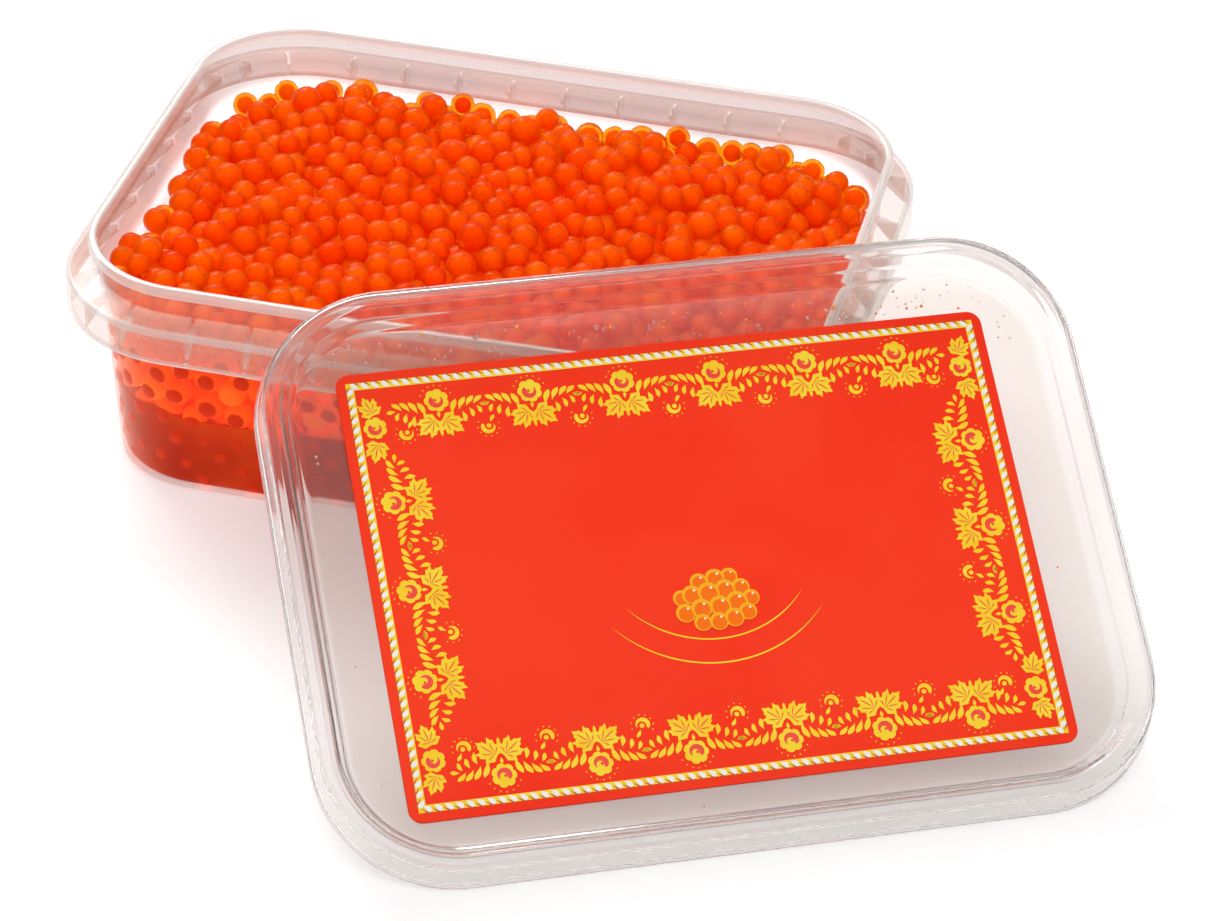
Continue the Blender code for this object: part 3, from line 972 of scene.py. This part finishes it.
base_lift, line_lift, shine_lift = 0.00002, 0.00004, 0.00006
gold, detail = Ink(base_lift), Ink(line_lift)
band_middle = 11.0 * MM
unit_pitch = 20.0 * MM
for side in range(4):
    units = 6 if side % 2 == 0 else 3
    depth = (label_width if side % 2 == 0 else label_length) / 2 - band_middle
    turn = Matrix.Rotation(-side * math.pi / 2, 2).to_3x3()
    for unit in range(units):
        along = (unit - (units - 1) / 2) * unit_pitch
        draw_unit(gold, detail, turn @ placed(along, depth))
        if unit < units - 1:
            draw_bud(gold, turn @ placed(along + unit_pitch / 2, depth - 4.0 * MM))
for way_x in (-1, 1):
    for way_y in (-1, 1):
        column = way_x * (label_length / 2 - 6.8 * MM)
        draw_leaf(gold, detail, placed(column, way_y * (label_width / 2 - 9.6 * MM),
                                       (0 if way_y > 0 else math.pi) - way_x * way_y * 0.4), 4.4 * MM)
        draw_flower(gold, detail, placed(column, way_y * (label_width / 2 - 12.8 * MM)), 2.5 * MM)
        draw_leaf(gold, detail, placed(column, way_y * (label_width / 2 - 16.4 * MM),
                                       (math.pi if way_y > 0 else 0) + way_x * way_y * 0.3), 4.6 * MM)
        draw_bud(gold, placed(way_x * (label_length / 2 - 13.2 * MM), way_y * (label_width / 2 - 14.6 * MM),
                              0 if way_y > 0 else math.pi))

gold_ink, finish = new_material("gold_ink")
glint = finish.noise(160.0, 2.0).between(0.3, 0.7)
paint(finish, base_color=glint.blend((1.0, 0.62, 0.020), (1.0, 0.73, 0.040)), roughness=0.4,
      specular_ior_level=0.12)
gold.piece("label_ornament", gold_ink)


def flat_ink(name, grain, first, second, shine=0.5):
    """A satin ink whose colour drifts between two shades."""
    material, finish = new_material(name)
    paint(finish, base_color=finish.noise(grain).blend(first, second), roughness=0.42, specular_ior_level=shine)
    return material


red_ink = flat_ink("red_ink", 90.0, (0.90, 0.03, 0.010), (0.97, 0.05, 0.018))
detail.piece("label_ornament_lines", red_ink)


# Rope round the label: a gold band with white strands wound round it and a thin dark line between
# each strand and the next, as printed.
rope_inset = 2.9 * MM
rope_half = 0.82 * MM
rope_pitch = 2.2 * MM
rope_base, rope_lines, shine = Ink(base_lift), Ink(line_lift), Ink(shine_lift)
for side in range(4):
    run = (label_length if side % 2 == 0 else label_width) / 2 - rope_inset
    depth = (label_width if side % 2 == 0 else label_length) / 2 - rope_inset
    turn = Matrix.Rotation(-side * math.pi / 2, 2).to_3x3()
    ends = ((-run - rope_half, rope_half), (-run + rope_half, -rope_half),
            (run - rope_half, -rope_half), (run + rope_half, rope_half))
    rope_base.shape([(x, depth + y) for x, y in ends], turn)
    count = round(2 * run / rope_pitch)
    for strand in range(count):
        along = (strand + 0.5 - count / 2) * 2 * run / count
        lean = turn @ placed(along, depth, 0.95)
        rope_lines.shape(petal(2.3 * MM, 0.36 * MM, 0.0, 4), lean @ placed(0.70 * MM, -1.15 * MM))
        shine.shape(petal(2.2 * MM, 1.12 * MM, 0.10 * MM), lean @ placed(-0.08 * MM, -1.12 * MM))
rope_ink = flat_ink("rope_line_ink", 300.0, (0.50, 0.07, 0.010), (0.62, 0.12, 0.014))
white_ink = flat_ink("white_ink", 300.0, (0.90, 0.87, 0.78), (0.96, 0.94, 0.88))
rope_base.piece("label_rope", gold_ink)
rope_lines.piece("label_rope_lines", rope_ink)
shine.piece("label_rope_shine", white_ink)


# Picture in the label's middle: a small mound of printed eggs over two thin gold arcs. Each egg is a
# pale disc with a deeper one and a glint on it.
arc_centre = (0.2 * MM, 6.2 * MM)
arc_width = 0.34 * MM
arcs = Ink(base_lift)
for radius, spread in ((24.4 * MM, 0.89), (29.7 * MM, 0.87)):
    line = []
    for edge in (-0.5, 0.5):
        for step in range(33):
            angle = spread * (step / 16 - 1)
            taper = 1 - abs(step / 16 - 1) ** 3
            reach = radius + edge * arc_width * taper
            line.append((arc_centre[0] + reach * math.sin(angle), arc_centre[1] - reach * math.cos(angle)))
    arcs.shape(line[:33] + line[:32:-1])
arcs.piece("label_arcs", gold_ink)
mounds = {name: Ink(base_lift) for name in ("rim", "deep", "glow")}
picture = placed(0.5 * MM, -9.4 * MM)
mound = ((-7.2, 1.0, 1.8), (-2.9, 4.2, 1.9), (3.7, 4.8, 1.8), (0.6, 4.6, 2.1), (5.7, 2.1, 1.9),
         (-4.9, 1.5, 2.1), (2.3, 1.9, 2.2), (-1.3, 1.6, 2.3), (7.4, -0.5, 1.8), (-6.9, -2.4, 2.1),
         (4.3, -1.1, 2.3), (-3.4, -1.8, 2.2), (0.6, -1.6, 2.3), (6.2, -3.5, 1.9), (-3.7, -4.9, 1.9),
         (3.1, -4.5, 2.1), (-0.3, -5.0, 2.0))
for place, (x, y, radius) in enumerate(mound):
    egg = picture @ placed(x * MM, y * MM, 0.0, radius)
    mounds["rim"].shape(disc(1.0 * MM, sides=18), egg, 3 * place)
    mounds["deep"].shape(disc(0.78 * MM, 0.04 * MM, -0.12 * MM, 16), egg, 3 * place + 1)
    mounds["glow"].shape(disc(0.14 * MM, 0.30 * MM, 0.45 * MM, 8), egg, 3 * place + 2)
for name, color in (("rim", (1.0, 0.44, 0.010)), ("deep", (1.0, 0.17, 0.002)), ("glow", (1.0, 0.85, 0.60))):
    paler = tuple(min(1.0, share * 1.06 + 0.005) for share in color)
    mounds[name].piece(f"label_picture_{name}", flat_ink(f"egg_ink_{name}", 400.0, color, paler, 0.1))


# Drops and specks: fine beads of water and specks of orange juice that cling to the lid's panel round
# the label, most of them near its upper edge.
drop_seed = 23
panel_margin = 0.001
panel_corner = 0.019
upper_share = 0.7
upper_depth = 0.010
water, finish = new_material("water_bead")
paint(finish, base_color=(1.0, 1.0, 1.0, 1.0), roughness=0.02 + finish.noise(500.0) * 0.03, ior=1.33,
      transmission_weight=1.0)
speck, finish = new_material("juice_speck")
paint(finish, base_color=finish.noise(500.0).blend((0.95, 0.22, 0.02), (0.98, 0.42, 0.10)), roughness=0.2)
chance = np.random.default_rng(drop_seed)
panel_x = lid_length / 2 - panel_inset - panel_margin
panel_y = lid_width / 2 - panel_inset - panel_margin
for name, material, count, sizes in (("lid_water_beads", water, 110, (0.00010, 0.00040)),
                                     ("lid_juice_specks", speck, 70, (0.00008, 0.00030))):
    points, radii = [], []
    while len(points) < count:
        x = chance.uniform(-panel_x, panel_x)
        if chance.random() < upper_share:
            y = panel_y - abs(chance.normal(0.0, upper_depth))
        else:
            y = chance.uniform(-panel_y, panel_y)
        over_x = abs(x - label_shift[0]) < label_length / 2 + panel_margin
        over_y = abs(y - label_shift[1]) < label_width / 2 + panel_margin
        corner_x = max(abs(x) - panel_x + panel_corner, 0)
        corner_y = max(abs(y) - panel_y + panel_corner, 0)
        past_corner = math.hypot(corner_x, corner_y) > panel_corner - 0.0005
        if over_x and over_y or past_corner or y < -panel_y:
            continue
        points.append(lid_pose @ Vector((x, y, panel_top)))
        radii.append(chance.uniform(*sizes) * (1 if chance.random() < 0.85 else 1.8))
    turns = np.tile(lid_turn.to_euler(), (count, 1))
    tree = scatter_tree(name, soft_ball, material)
    beads = scatter(name, points, radii, turns, np.zeros(count), tree)
    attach(beads, "root")
    "lid_plastic" if name == "lid_water_beads" else "roe"


# Studio: a white table under a broad even light from above and behind, with darker sides that
# draw the edges of the clear plastic.
table_white, finish = new_material("table_white")
paint(finish, base_color=(0.78, 0.78, 0.78, 1.0), roughness=0.8,
      emission_color=(1.0, 1.0, 1.0, 1.0), emission_strength=0.37)
table_half = 6
table_top = -0.0001
table_corners = [(x * table_half, y * table_half, table_top) for x, y in ((-1, -1), (1, -1), (1, 1), (-1, 1))]
table = add_mesh("table", table_corners, [(0, 1, 2, 3)], table_white)
world = bpy.data.worlds.new("studio")
bpy.context.scene.world = world
world.use_nodes = True
world.node_tree.nodes.clear()
sky = Finish(world.node_tree)
aim = sky.node("ShaderNodeTexCoord", out=0)
rise = sky.node("ShaderNodeSeparateXYZ", None, {"Vector": aim}, out=2)
glow = rise.between(0.05, 0.75).blend((0.56, 0.56, 0.57), (1.0, 1.0, 1.0))
sky.node("ShaderNodeOutputWorld", None, {"Surface": sky.node("ShaderNodeBackground", None,
                                                             {"Color": glow, "Strength": 0.54})})
lamp_aim = Vector((0.02, -0.03, 0.03))
lamp_depth = 0.7
for name, place, width, power in (("softbox_back", (-0.45, 0.60, 0.75), 0.7, 8.0),
                                  ("softbox_front", (0.35, -0.60, 0.95), 0.7, 4.0)):
    lamp = bpy.data.lights.new(name, "AREA")
    lamp.shape = "RECTANGLE"
    lamp.size = width
    lamp.size_y = width * lamp_depth
    lamp.energy = power
    light = bpy.data.objects.new(name, lamp)
    light.location = place
    light.rotation_euler = (lamp_aim - Vector(place)).to_track_quat("-Z", "Y").to_euler()
    bpy.context.collection.objects.link(light)
bpy.context.scene.view_settings.view_transform = "Standard"
bpy.context.scene.view_settings.look = "None"
